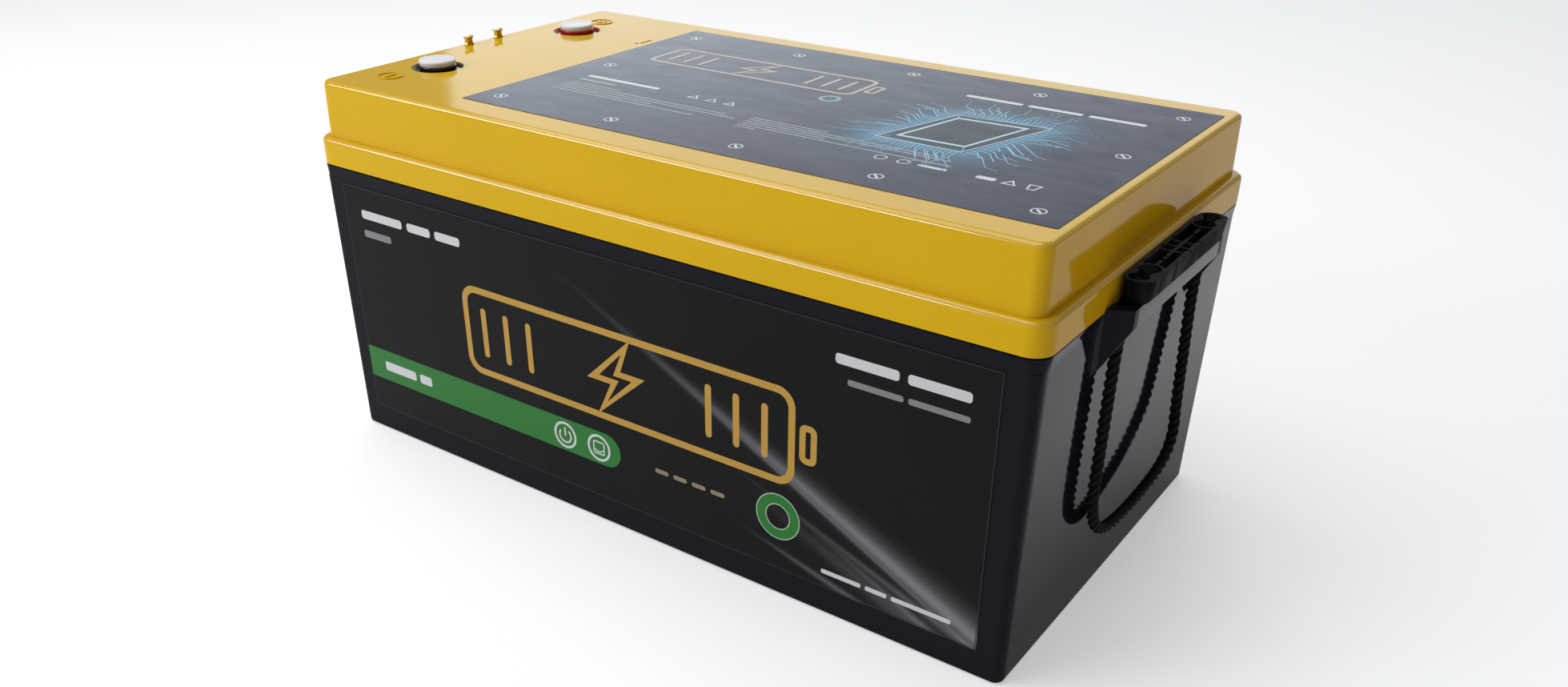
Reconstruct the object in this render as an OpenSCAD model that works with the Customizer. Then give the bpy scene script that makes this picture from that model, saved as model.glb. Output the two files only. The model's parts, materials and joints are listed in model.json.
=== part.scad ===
// Deep cycle lithium battery in a Group 8D case, with a rope handle on each end.
// Millimetres. +X runs along the case to the right-hand handle, -Y is the labelled front, +Z is up.
// The origin is the middle of the underside.

/* [Case and lid] */
// Length over the lid flange
body_l = 527; // [525:0.5:529]
// Width over the lid flange
body_w = 289; // [287:0.5:291]
// Height of the lid's top face
body_h = 253; // [251:0.5:256]
// Height of the joint between the case and the lid
joint_z = 198.6; // [198:0.1:199]
// Height of the lid flange's top
flange_z = 216.5; // [215.5:0.5:219]
// Inset of the lid's upper tier from the flange, along the length
tier_inset_x = 6.3; // [5:0.1:7]
// Inset of the lid's upper tier from the flange, across the width
tier_inset_y = 5.1; // [4:0.1:6]
// Thickness of the case floor
floor_t = 4.5; // [3:0.5:5]

/* [Terminals] */
// Distance from the middle of the case to the terminals, along the length
terminal_x = 220; // [218:0.5:222]
// Distance from the middle of the case to each terminal, across the width
terminal_y = 69.5; // [68:0.5:71]
// Radius of the well around each terminal
well_r = 17.5; // [16:0.5:19]
// Radius of each coloured collar
collar_r = 12.3; // [11:0.1:12.5]
// Radius of the hole in each terminal, which is tapped M8
tap_r = 3.4; // [3.3:0.05:3.5]

/* [Handles] */
// How far each ledge stands out from the middle of the case
ledge_x = 277; // [276:0.5:278]
// Height of the ledge's top face
ledge_z = 200.5; // [200:0.1:200.8]
// Length of the grip
grip_l = 124; // [123:0.5:125]
// Width of the grip at its top
grip_w = 16.8; // [16:0.1:17]
// Height of the grip's top face
grip_z = 214.4; // [214:0.1:216]
// Diameter of the rope
rope_d = 7; // [6:0.1:7]
// Diameter of the rope where it is squeezed into the grip
rope_neck_d = 5.8; // [5:0.1:5.8]

/* [Cells] */
// Thickness of a cell, along the case
cell_t = 36.6; // [34:0.1:37]
// Width of a cell, across the case
cell_w = 130; // [126:0.5:130]
// Height of a cell's can
cell_h = 194; // [180:1:196]
// Number of cells in a row
row_count = 8; // [4:1:8]

/* [Hidden] */
$fn = 48;
CELL_NAMES = [for (i = [1:16]) str("cell_", i < 10 ? "0" : "", i)];

// Colours
BLACK = [0.09, 0.09, 0.10];
YELLOW = [0.93, 0.70, 0.07];
BRASS = [0.78, 0.66, 0.36];
COPPER = [0.80, 0.48, 0.30];
STEEL = [0.72, 0.73, 0.75];
FOAM = [0.25, 0.25, 0.27];

// Half sizes of the case at its foot, under its collar, and at the collar's top
foot_half = [260.2, 141.2];
wall_half = [261.7, 142.5];
collar_half = [body_l / 2 - 0.3, body_w / 2 - 0.3];
collar_z = 190;
// The case rim that stands up inside the lid flange, and the cavity inside it
rim_half = [259, 140];
rim_z = 209.4;
cavity_half = [256.5, 137.5];
case_r = 6;

// Half sizes of the lid's two tiers, and of the hollows in them
flange_half = [body_l / 2, body_w / 2];
tier_half = [flange_half.x - tier_inset_x, flange_half.y - tier_inset_y];
flange_hollow_half = [259.4, 140.4];
tier_hollow_half = [253.2, 135.5];
flange_r = 12;
tier_r = 8;
edge_r = 3.5;
tier_draft = 0.6;
ceiling_z = 212.4;
lid_t = 4.2;

// Terminals, from the cap's top down to the stud's end
cap_r = 12.4;
cap_top_z = 258.4;
collar_top_z = 254.6;
barrel_top_z = 252.4;
well_floor_z = 245;
boss_z = 238;
terminal_flange_z = 234;
stud_end_z = 220;
barrel_r = 8;
stud_r = 4;
lug_t = 2.5;

// Handles: where the ledge's ends are at the wall and at its outer face, and the rope's holes
ledge_under_z = 190;
gusset_z = 163.5;
gusset_in_y = 64;
ledge_wall_y = 76.7;
ledge_out_y = 66.5;
ledge_clear_x = 264.2;
hole_at = [269.3, 58];
hole_r = 5.9;
grip_x = 272.6;
grip_bottom_z = 201;
grip_bottom_w = 13.2;
grip_floor_z = 205;
grip_rim = 2.3;
grip_end_y = grip_l / 2 - grip_w / 2;
knot_r = 4.4;
knot_at = [271.9, 54.8, grip_floor_z + knot_r + 0.02];
knot_pit_at = [272, 55];
knot_pit_r = 5.4;
grip_hole_at = [270.8, 55.5];

// Diameter of the rope at a point of its centreline: it narrows as it goes up into the grip
function rope_size(p) = rope_d + (rope_neck_d - rope_d) * max(0, min(1, (p.z - 176) / 10));
// The rope's centreline: out of one knot, down through the ledge, across, and up to the other knot
ROPE_ROUTE = [
    [271.2, -55.0, 207], [270.8, -55.6, 203], [270.4, -56.4, 198], [269.4, -57.6, 191],
    [268.2, -58.8, 183], [267.6, -59.2, 174], [267.5, -59.3, 162], [267.5, -59.3, 148],
    [267.5, -59.3, 134], [267.5, -59.3, 120], [267.5, -59.3, 106], [267.5, -59.3, 93],
    [267.5, -58.6, 82], [267.8, -56.2, 72], [268.3, -51.8, 63], [268.9, -45.0, 56.5],
    [269.5, -36, 53], [270.1, -26, 51.6], [270.8, -14, 51.4], [271.4, -2, 52],
    [272, 10, 53.4], [272.6, 22, 55.4], [273.1, 33, 58.2], [273.4, 43, 62.4],
    [273.2, 51, 68.6], [272.4, 56.2, 76.8], [271.0, 58.6, 87], [270.2, 59.1, 98],
    [269.6, 59.3, 110], [269.1, 59.3, 123], [268.5, 59.3, 137], [267.9, 59.3, 151],
    [267.5, 59.3, 165], [267.7, 59.1, 176], [268.4, 58.6, 185], [269.5, 57.5, 192],
    [270.4, 56.4, 198], [270.8, 55.6, 203], [271.2, 55.0, 207]
];

// The cell block
cell_base_z = 7.5;
cell_top_z = cell_base_z + cell_h;
cell_gap = 1;
cell_pitch = cell_t + cell_gap;
row_gap = 3;
row_y = (cell_w + row_gap) / 2;
block_x0 = -92;
block_l = row_count * cell_pitch - cell_gap;
block_half_y = cell_w + row_gap / 2;
plate_t = 6;
plate_top_z = 190;
strap_t = 0.8;
strap_h = 16;
post_y = 45;
post_r = 9;
post_top_z = cell_top_z + 3;
cell_stud_r = 3;
cell_stud_z = post_top_z + 8.5;
link_t = 2.5;
link_w = 20;

// The management board and what holds it
bracket_x = -196;
bracket_t = 2;
board_x = -186;
board_t = 1.6;
block_at_y = [-75, -38];
block_top_z = 150;
barrel_end_x = -152;
lug_barrel_r = 5;

// Cable centrelines
POSITIVE_ROUTE = [
    [-98, 21.5, 207], [-107, 21.5, 207], [-120, 23.5, 210.5], [-133, 28, 216.5],
    [-144, 36, 222.5], [-155, 46, 228], [-167, 57, 231.5], [-176, 67, 232.5], [-184, 69.5, 232.5],
    [-192, 69.5, 232.5]
];
NEGATIVE_ROUTE = [
    [-152, -75, 152.5], [-144, -75, 152.5], [-136.5, -75, 159], [-133, -74.6, 171],
    [-133, -74, 187], [-136, -73, 203], [-143, -71.5, 217], [-155, -70.2, 227],
    [-170, -69.6, 231.6], [-181, -69.5, 232.5], [-192, -69.5, 232.5]
];
PACK_ROUTE = [
    [-98, -21.5, 207], [-107, -21.5, 207], [-120, -24, 202], [-128, -27.5, 192],
    [-131, -31, 180], [-131, -35, 168], [-136, -38, 158], [-144, -38, 152.5], [-152, -38, 152.5]
];
HARNESS_ROUTE = [
    [-178.4, 15, 150], [-178.4, 15, 165], [-176, 14, 182], [-168, 10, 197], [-154, 5, 207],
    [-136, 1, 211.5], [-118, 0, 213], [-60, 0, 213], [30, 0, 213], [100, 0, 213], [165, 0, 213]
];
cable_d = 9;
harness_d = 7;

// ---- Shared shapes ----

// A rectangle with round corners, given by its half sizes
module rounded_rect(half, r) {
    square([2 * (half.x - r), 2 * half.y], center = true);
    square([2 * half.x, 2 * (half.y - r)], center = true);
    for (sx = [-1, 1], sy = [-1, 1])
        translate([sx * (half.x - r), sy * (half.y - r)])
            circle(r);
}

// An upright slab with round corners, from z0 to z1
module slab(half, r, z0, z1) {
    translate([0, 0, z0])
        linear_extrude(z1 - z0)
            rounded_rect(half, r);
}

// A plain box given by its two extreme corners
module box(low, high) {
    translate(low)
        cube(high - low);
}

// A column of radius r whose top edge, or bottom edge when flipped, is rounded by edge
module rounded_column(r, h, edge) {
    rotate_extrude($fn = 48)
        polygon(concat(
            [[0, 0], [r, 0]],
            [for (a = [0:18:90]) [r - edge + edge * cos(a), h - edge + edge * sin(a)]],
            [[0, h]]
        ));
}

// A moulded block with round corners and a rounded top edge, slightly wider at its foot
module moulded_block(half, r, edge, draft, z0, z1) {
    hull()
        for (sx = [-1, 1], sy = [-1, 1])
            translate([sx * (half.x - r), sy * (half.y - r), z0]) {
                translate([sx * draft, sy * draft, 0])
                    cylinder(r = r, h = 0.01);
                rounded_column(r, z1 - z0, edge);
            }
}

// Unit vector along v
function unit(v) = v / norm(v);
// Direction of a route at point i
function heading(route, i) =
    unit(route[min(i + 1, len(route) - 1)] - route[max(i - 1, 0)]);

// A tube swept along a route, with a diameter for each of its points: side is a direction never
// parallel to the route
module swept_tube(route, sizes, sides, side) {
    count = len(route);
    rings = [
        for (i = [0:count - 1])
            let (
                along = heading(route, i),
                u = unit(cross(along, side)),
                v = cross(along, u)
            )
            for (k = [0:sides - 1])
                route[i] + sizes[i] / 2 * (cos(360 * k / sides) * u + sin(360 * k / sides) * v)
    ];
    walls = [
        for (i = [0:count - 2], k = [0:sides - 1])
            let (next = (k + 1) % sides, a = i * sides, b = a + sides)
            [a + k, a + next, b + next, b + k]
    ];
    start_cap = [[for (k = [0:sides - 1]) sides - 1 - k]];
    end_cap = [[for (k = [0:sides - 1]) (count - 1) * sides + k]];
    polyhedron(rings, concat(start_cap, walls, end_cap));
}

// A hexagonal nut standing on z, with its hole
module nut(across, hole_r, h) {
    difference() {
        cylinder(d = across / cos(30), h = h, $fn = 6);
        translate([0, 0, -1])
            cylinder(r = hole_r, h = h + 2);
    }
}

// What follows is drawn at the right end, or mirrored to the left end
module at_end(right) {
    if (right)
        children();
    else
        mirror([1, 0, 0])
            children();
}

// What follows is drawn at the negative terminal, or at the positive one
module at_terminal(negative) {
    translate([-terminal_x, negative ? -terminal_y : terminal_y, 0])
        children();
}

// ---- Case and lid ----

// Outline of the ledge seen from above, from the wall outwards
module ledge_outline(wall_x) {
    polygon([
        [wall_x, -ledge_wall_y], [ledge_x, -ledge_out_y],
        [ledge_x, ledge_out_y], [wall_x, ledge_wall_y]
    ]);
}

// Ledge with a gusset under each of its ends, on the right end of the case
module handle_ledge() {
    inside_x = rim_half.x;
    step_z = joint_z - 0.4;
    translate([0, 0, ledge_under_z])
        linear_extrude(step_z - ledge_under_z)
            ledge_outline(inside_x);
    translate([0, 0, step_z])
        linear_extrude(ledge_z - step_z)
            intersection() {
                ledge_outline(inside_x);
                translate([ledge_clear_x, -100])
                    square([100, 200]);
            }
    for (s = [-1, 1])
        intersection() {
            translate([0, s < 0 ? -gusset_in_y : 100, 0])
                rotate([90, 0, 0])
                    linear_extrude(100 - gusset_in_y)
                        polygon([
                            [inside_x, gusset_z - 5.3], [ledge_x, ledge_under_z],
                            [ledge_x, ledge_under_z + 1], [inside_x, ledge_under_z + 1]
                        ]);
            translate([0, 0, 100])
                linear_extrude(100)
                    ledge_outline(inside_x);
        }
}

// Black tub: tapered walls, collar with a groove under the lid, thin rim inside the lid, ledges on
// both ends
module case_tub() {
    foot_h = 6;
    color(BLACK)
    difference() {
        union() {
            hull() {
                for (sx = [-1, 1], sy = [-1, 1])
                    translate([sx * (foot_half.x - case_r), sy * (foot_half.y - case_r), foot_h])
                        mirror([0, 0, 1])
                            rounded_column(case_r, foot_h, 2.5);
                slab(wall_half, case_r, collar_z - 1.5, collar_z - 0.5);
            }
            hull() {
                slab(wall_half - [0.6, 0.6], case_r, collar_z - 5, collar_z - 4);
                slab(collar_half, flange_r - 1, joint_z - 2.5, joint_z - 1);
            }
            slab(collar_half - [1, 1], flange_r - 2, joint_z - 2, joint_z);
            slab(rim_half, case_r, collar_z + 3, rim_z);
            for (right = [false, true])
                at_end(right)
                    handle_ledge();
        }
        slab(cavity_half, 4, floor_t, rim_z + 1);
        for (right = [false, true], s = [-1, 1])
            at_end(right)
                translate([hole_at.x, s * hole_at.y, ledge_under_z - 1])
                    cylinder(r = hole_r, h = ledge_z - ledge_under_z + 2);
    }
}

// Raised polarity mark: a ring around a minus or a plus sign
module polarity_mark(plus) {
    raise = 0.6;
    difference() {
        cylinder(r = 8.8, h = raise);
        translate([0, 0, -1])
            cylinder(r = 7.6, h = raise + 2);
    }
    translate([-1, -4.6, 0])
        cube([2, 9.2, raise]);
    if (plus)
        translate([-4.6, -1, 0])
            cube([9.2, 2, raise]);
}

// Small upright hook tab with a narrow waist
module hook_tab() {
    tab_h = 6;
    rotate([90, 0, 90])
        translate([0, 0, -1.6])
            linear_extrude(3.2)
                polygon([
                    [-3.6, 0], [3.6, 0], [2.4, 1.6], [2.2, 4], [3.8, tab_h],
                    [2, tab_h - 0.5], [-2, tab_h - 0.5], [-3.8, tab_h], [-2.2, 4], [-2.4, 1.6]
                ]);
}

// Yellow lid: two hollow tiers, a boss and a well for each terminal
module lid() {
    boss_r = 21;
    color(YELLOW)
    difference() {
        union() {
            difference() {
                union() {
                    moulded_block(flange_half, flange_r, edge_r, 0, joint_z, flange_z);
                    moulded_block(tier_half, tier_r, edge_r, tier_draft, flange_z - 4, body_h);
                }
                slab(flange_hollow_half, case_r, joint_z - 1, ceiling_z);
                slab(tier_hollow_half, 5, joint_z - 1, body_h - lid_t);
            }
            for (negative = [false, true])
                at_terminal(negative)
                    translate([0, 0, boss_z])
                        cylinder(r = boss_r, h = body_h - 1 - boss_z);
            translate([-226, -106, body_h])
                polarity_mark(false);
            translate([-225, 103, body_h])
                polarity_mark(true);
            translate([-155.3, 66, body_h - 0.1])
                cube([1.6, 11, 0.5]);
            for (y = [-10.6, 18.6])
                translate([-251.6, y, body_h])
                    hook_tab();
        }
        for (negative = [false, true])
            at_terminal(negative) {
                translate([0, 0, well_floor_z])
                    cylinder(r = well_r, h = 20);
                translate([0, 0, boss_z - 1])
                    cylinder(r = barrel_r, h = 20);
            }
        translate([-156, 63, body_h - 10])
            cylinder(r = 1.5, h = 12);
    }
}

// Rubber seal on the case rim, under the lid's ceiling
module lid_seal() {
    color([0.15, 0.15, 0.16])
    difference() {
        slab(rim_half - [0.2, 0.2], case_r, rim_z, ceiling_z);
        slab(cavity_half + [0.2, 0.2], 4, rim_z - 1, ceiling_z + 1);
    }
}

// Printed sheet on top of the lid
module top_label() {
    color([0.36, 0.38, 0.42])
    translate([52, 1.7, body_h])
        linear_extrude(0.3)
            rounded_rect([198.7, 118.5], 1.2);
}

// Printed sheet on the front wall, which leans out by the wall's own draft
module front_label() {
    half = [244.6, 84.4];
    foot_y = foot_half.y;
    lean = atan((wall_half.y - foot_y) / (collar_z - 2.5));
    color([0.12, 0.12, 0.13])
    translate([-0.4, -foot_y, 2.5])
        rotate([lean + 90, 0, 0])
            translate([0, 100.5, 0.02])
                linear_extrude(0.3)
                    rounded_rect(half, 1.2);
}

// ---- Terminals ----

// Brass insert: barrel with a tapped hole, flange under the boss, stud for the cable lug
module terminal(negative) {
    color(BRASS)
    at_terminal(negative)
        difference() {
            union() {
                translate([0, 0, boss_z])
                    cylinder(r = barrel_r, h = barrel_top_z - boss_z);
                translate([0, 0, terminal_flange_z])
                    cylinder(r = 11, h = boss_z - terminal_flange_z);
                translate([0, 0, stud_end_z])
                    cylinder(r = stud_r, h = terminal_flange_z - stud_end_z);
            }
            translate([0, 0, barrel_top_z - 15])
                cylinder(r = tap_r, h = 16);
        }
}

// Coloured insulating collar, with a cup around it that lines the well
module collar(negative) {
    cup_h = 7.4;
    floor_h = 3;
    collar_h = collar_top_z - well_floor_z;
    color(negative ? [0.06, 0.06, 0.06] : [0.62, 0.06, 0.05])
    at_terminal(negative)
        translate([0, 0, well_floor_z])
            rotate_extrude()
                polygon([
                    [barrel_r + 0.2, 0], [well_r - 0.2, 0], [well_r - 0.2, cup_h],
                    [well_r - 1.1, cup_h], [well_r - 1.1, floor_h], [collar_r, floor_h],
                    [collar_r, collar_h], [barrel_r + 0.2, collar_h]
                ]);
}

// White cap: a round-edged disc with a ring underneath that locates it in the collar
module cap(negative) {
    disc_h = cap_top_z - collar_top_z;
    color([0.90, 0.90, 0.91])
    at_terminal(negative)
        translate([0, 0, collar_top_z])
            rotate_extrude()
                polygon([
                    [0, 0], [5.4, 0], [5.4, -1.9], [7.8, -1.9], [7.8, 0],
                    [cap_r - 1.2, 0], [cap_r - 0.6, 0.4], [cap_r, disc_h - 1.7],
                    [cap_r - 0.5, disc_h - 0.6], [cap_r - 1.8, disc_h], [0, disc_h]
                ]);
}

// Nuts that hold the cable lugs on the terminal studs
module terminal_nuts() {
    color(STEEL)
    for (negative = [false, true])
        at_terminal(negative)
            translate([0, 0, terminal_flange_z - lug_t - 6.5])
                nut(13, stud_r + 0.05, 6.5);
}

// ---- Handles ----

// Tapered bar with round ends, without its pockets
module grip_blank() {
    h = grip_z - grip_bottom_z;
    foot_r = grip_bottom_w / 2;
    translate([grip_x, 0, grip_bottom_z]) {
        rotate([90, 0, 0])
            linear_extrude(2 * grip_end_y, center = true)
                polygon([
                    [-foot_r + 0.9, 0], [foot_r - 0.9, 0], [foot_r, 1],
                    [grip_w / 2, h], [-grip_w / 2, h], [-foot_r, 1]
                ]);
        for (s = [-1, 1])
            translate([0, s * grip_end_y, 0]) {
                cylinder(r1 = foot_r - 0.9, r2 = foot_r, h = 1);
                translate([0, 0, 1])
                    cylinder(r1 = foot_r, r2 = grip_w / 2, h = h - 1);
            }
    }
}

// Grip bar: at each end a pit for the knot opens into a wider pit, and a ribbed pocket lies between
// them, with notches across its rims
module grip(right) {
    pocket_w = grip_w - 2 * grip_rim;
    wide_pit_y = 41.4;
    ring_r = pocket_w / 2 + 1.2;
    rib_t = 1.3;
    spine_t = 2;
    rib_h = grip_z - 0.6 - grip_floor_z;
    spine_end = wide_pit_y - ring_r + 0.3;
    color([0.10, 0.10, 0.11])
    at_end(right) {
        difference() {
            grip_blank();
            difference() {
                translate([grip_x - pocket_w / 2, -wide_pit_y, grip_floor_z])
                    cube([pocket_w, 2 * wide_pit_y, 20]);
                for (s = [-1, 1])
                    translate([grip_x, s * wide_pit_y, grip_floor_z - 1])
                        cylinder(r = ring_r, h = 30);
            }
            for (s = [-1, 1]) {
                translate([grip_x, s * wide_pit_y, grip_floor_z])
                    cylinder(r = pocket_w / 2, h = 20);
                translate([grip_x - 3.8, s * 49 - 5, grip_floor_z])
                    cube([7.2, 10, 20]);
                translate([knot_pit_at.x, s * knot_pit_at.y, grip_floor_z])
                    cylinder(r = knot_pit_r, h = 20);
                translate([grip_hole_at.x, s * grip_hole_at.y, grip_bottom_z - 1])
                    cylinder(r = rope_neck_d / 2 + 0.8, h = 10);
            }
            for (y = [-4.7, 11.3])
                translate([grip_x - 10, y - 0.8, grip_z - 1.6])
                    cube([20, 1.6, 3]);
        }
        translate([grip_x, 0, grip_floor_z]) {
            for (span = [[-spine_end, -25], [-21, -18.5], [-16.5, 16.5], [18.5, 21], [25, spine_end]])
                translate([-spine_t / 2, span[0], -0.2])
                    cube([spine_t, span[1] - span[0], rib_h]);
            for (y = [-8, 0, 8])
                translate([-pocket_w / 2 - 0.2, y - rib_t / 2, -0.2])
                    cube([pocket_w + 0.4, rib_t, rib_h]);
        }
    }
}

// Rope of one handle
module rope(right) {
    color([0.05, 0.05, 0.05])
    at_end(right)
        swept_tube(ROPE_ROUTE, [for (p = ROPE_ROUTE) rope_size(p)], 10, [1, 0, 0]);
}

// The two knots of one rope, in the wells of its grip
module rope_knots(right) {
    color([0.06, 0.06, 0.06])
    at_end(right)
        for (s = [-1, 1])
            translate([knot_at.x, s * knot_at.y, knot_at.z])
                sphere(r = knot_r);
}

// ---- Cell block ----

// Left face of cell i of its row, and its middle
function cell_x(i) = block_x0 + i * cell_pitch;
function cell_mid_x(i) = cell_x(i) + cell_t / 2;

// One prismatic cell: can, two posts with studs, and a round vent
module cell(i) {
    front = i < row_count;
    slot = front ? i : 2 * row_count - 1 - i;
    translate([cell_mid_x(slot), front ? -row_y : row_y, 0]) {
        color([0.10, 0.28, 0.62])
            slab([cell_t / 2, cell_w / 2], 2, cell_base_z, cell_top_z);
        color(STEEL) {
            for (s = [-1, 1])
                translate([0, s * post_y, cell_top_z]) {
                    cylinder(r = post_r, h = post_top_z - cell_top_z);
                    cylinder(r = cell_stud_r, h = cell_stud_z - cell_top_z);
                }
            translate([0, 0, cell_top_z])
                cylinder(r = 7, h = 0.4);
        }
    }
}

// Thin sheets between neighbouring cells of both rows
module cell_insulators() {
    color([0.85, 0.80, 0.62])
    for (y = [-row_y, row_y], i = [1:row_count - 1])
        box(
            [cell_x(i) - cell_gap, y - cell_w / 2, cell_base_z],
            [cell_x(i), y + cell_w / 2, cell_top_z]
        );
}

// Sheet between the two rows
module row_divider() {
    color([0.85, 0.80, 0.62])
    box(
        [block_x0, -row_gap / 2, cell_base_z],
        [block_x0 + block_l, row_gap / 2, cell_top_z]
    );
}

// Plate that presses on one end of both rows
module end_plate(left) {
    x0 = left ? block_x0 - plate_t : block_x0 + block_l;
    color([0.62, 0.64, 0.66])
    difference() {
        box([x0, -block_half_y, cell_base_z], [x0 + plate_t, block_half_y, plate_top_z]);
        for (y = [-66, 0, 66])
            translate([x0 - 1, y, 100])
                rotate([0, 90, 0])
                    cylinder(r = 14, h = plate_t + 2);
    }
}

// Two steel bands around the rows and their end plates
module cell_straps() {
    low = [block_x0 - plate_t, -block_half_y];
    high = [block_x0 + block_l + plate_t, block_half_y];
    color(STEEL)
    for (z = [40, 150])
        difference() {
            box(
                [low.x - strap_t, low.y - strap_t, z],
                [high.x + strap_t, high.y + strap_t, z + strap_h]
            );
            box([low.x, low.y, z - 1], [high.x, high.y, z + strap_h + 1]);
        }
}

// Copper bar over two studs a given distance apart
module link_bar(span) {
    difference() {
        slab([span / 2 + link_w / 2, link_w / 2], 3, 0, link_t);
        for (s = [-1, 1])
            translate([s * span / 2, 0, -1])
                cylinder(r = cell_stud_r + 0.15, h = link_t + 2);
    }
}

// Links that put the cells in series: outer and inner posts in turn, then one across the rows
module cell_links() {
    color(COPPER) {
        for (side = [-1, 1], i = [0:row_count - 2]) {
            outer = i % 2 == 0;
            y = side * (row_y + (outer ? post_y : -post_y));
            translate([cell_x(i) + cell_t + cell_gap / 2, y, post_top_z])
                link_bar(cell_pitch);
        }
        translate([cell_mid_x(row_count - 1), 0, post_top_z])
            rotate([0, 0, 90])
                link_bar(2 * (row_y - post_y));
    }
}

// A nut on every cell stud
module cell_nuts() {
    color(STEEL)
    for (i = [0:row_count - 1], y = [-row_y, row_y], s = [-1, 1])
        translate([cell_mid_x(i), y + s * post_y, post_top_z + link_t])
            nut(10, cell_stud_r + 0.05, 5);
}

// ---- Foam ----

module base_pad() {
    color(FOAM)
    box([block_x0 - plate_t, -block_half_y, floor_t],
        [block_x0 + block_l + plate_t, block_half_y, cell_base_z]);
}

module side_pad(front) {
    in_y = block_half_y + strap_t;
    color(FOAM)
    translate([0, front ? -in_y - cavity_half.y : 0, 0])
        box([block_x0, in_y, 20], [block_x0 + block_l, cavity_half.y, plate_top_z]);
}

module end_foam_block() {
    color(FOAM)
    box([block_x0 + block_l + plate_t + strap_t, -128, floor_t],
        [cavity_half.x, 128, plate_top_z]);
}

// ---- Management board ----

// Bent bracket: an upright plate with a foot on the case floor
module bms_bracket() {
    color(STEEL) {
        box([bracket_x, -100, floor_t], [bracket_x + bracket_t, 100, 165]);
        box([bracket_x, -100, floor_t], [bracket_x + 26, 100, floor_t + bracket_t]);
    }
}

// Finned heat sink on the outer side of the bracket
module bms_heat_sink() {
    color([0.70, 0.72, 0.74]) {
        box([bracket_x - 4, -90, 30], [bracket_x, 90, 130]);
        for (y = [-88:11:88])
            box([bracket_x - 24, y - 1, 30], [bracket_x - 3.9, y + 1, 130]);
    }
}

// The four mounting points of the board
module at_board_corners() {
    for (y = [-90, 90], z = [26, 144])
        translate([0, y, z])
            rotate([0, 90, 0])
                children();
}

module bms_board() {
    color([0.05, 0.30, 0.16])
    difference() {
        box([board_x, -96, 20], [board_x + board_t, 96, 150]);
        translate([board_x - 1, 0, 0])
            at_board_corners()
                cylinder(r = 1.7, h = board_t + 2);
    }
}

module bms_standoffs() {
    color(BRASS)
    translate([bracket_x + bracket_t, 0, 0])
        at_board_corners()
            difference() {
                cylinder(d = 6, h = board_x - bracket_x - bracket_t);
                translate([0, 0, -1])
                    cylinder(r = 1.55, h = 20);
            }
}

module bms_screws() {
    shank = 7;
    color(STEEL)
    translate([board_x + board_t - shank, 0, 0])
        at_board_corners() {
            cylinder(r = 1.5, h = shank);
            translate([0, 0, shank])
                cylinder(r = 2.9, h = 2);
        }
}

// Power transistors between the board and the bracket
module bms_transistors() {
    color([0.10, 0.10, 0.10])
    for (y = [-75:15:75], z = [60, 95])
        box([bracket_x + bracket_t, y - 5, z], [board_x, y + 5, z + 15]);
}

module bms_capacitors() {
    color([0.12, 0.14, 0.30])
    for (y = [50, 66, 82])
        translate([board_x + board_t, y, 112])
            rotate([0, 90, 0])
                cylinder(d = 12, h = 20);
}

// Socket that the sense harness plugs into
module bms_connector() {
    color([0.92, 0.92, 0.88])
    box([board_x + board_t, -8, 128], [board_x + board_t + 12, 38, block_top_z]);
}

// Brass blocks that the power cables screw to
module bms_output_blocks() {
    color(BRASS)
    for (y = block_at_y) {
        box([board_x + board_t, y - 10, 138], [-166, y + 10, block_top_z]);
        translate([-175, y, block_top_z])
            cylinder(r = cell_stud_r, h = 8);
    }
}

// ---- Cables ----

// Lug with its eye at the origin and its barrel along +X, up to reach, at height rise
module lug(eye_r, reach, rise) {
    barrel_l = 14;
    difference() {
        union() {
            cylinder(r = 9, h = lug_t);
            translate([0, -lug_barrel_r, 0])
                cube([reach - barrel_l + 0.5, 2 * lug_barrel_r, lug_t]);
        }
        translate([0, 0, -1])
            cylinder(r = eye_r, h = lug_t + 2);
    }
    translate([reach - barrel_l, 0, rise])
        rotate([0, 90, 0])
            cylinder(r = lug_barrel_r, h = barrel_l);
}

// Lugs on the terminals, on the pack's first and last posts, and on the output blocks
module cable_lugs() {
    color([0.80, 0.80, 0.78]) {
        for (negative = [false, true])
            at_terminal(negative)
                translate([0, 0, terminal_flange_z - lug_t])
                    lug(stud_r + 0.1, terminal_x - 192, 1);
        for (s = [-1, 1])
            translate([cell_mid_x(0), s * (row_y - post_y), post_top_z])
                mirror([1, 0, 0])
                    lug(cell_stud_r + 0.1, cell_mid_x(0) + 98, 2.5);
        for (y = block_at_y)
            translate([-175, y, block_top_z])
                lug(cell_stud_r + 0.1, 175 + barrel_end_x, 2.5);
    }
}

module cable(route, tint) {
    color(tint)
        swept_tube(route, [for (p = route) cable_d], 12, [0, 1, 0.2]);
}

module sense_harness() {
    color([0.12, 0.12, 0.12])
        swept_tube(HARNESS_ROUTE, [for (p = HARNESS_ROUTE) harness_d], 10, [0, 1, 0]);
}

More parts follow.
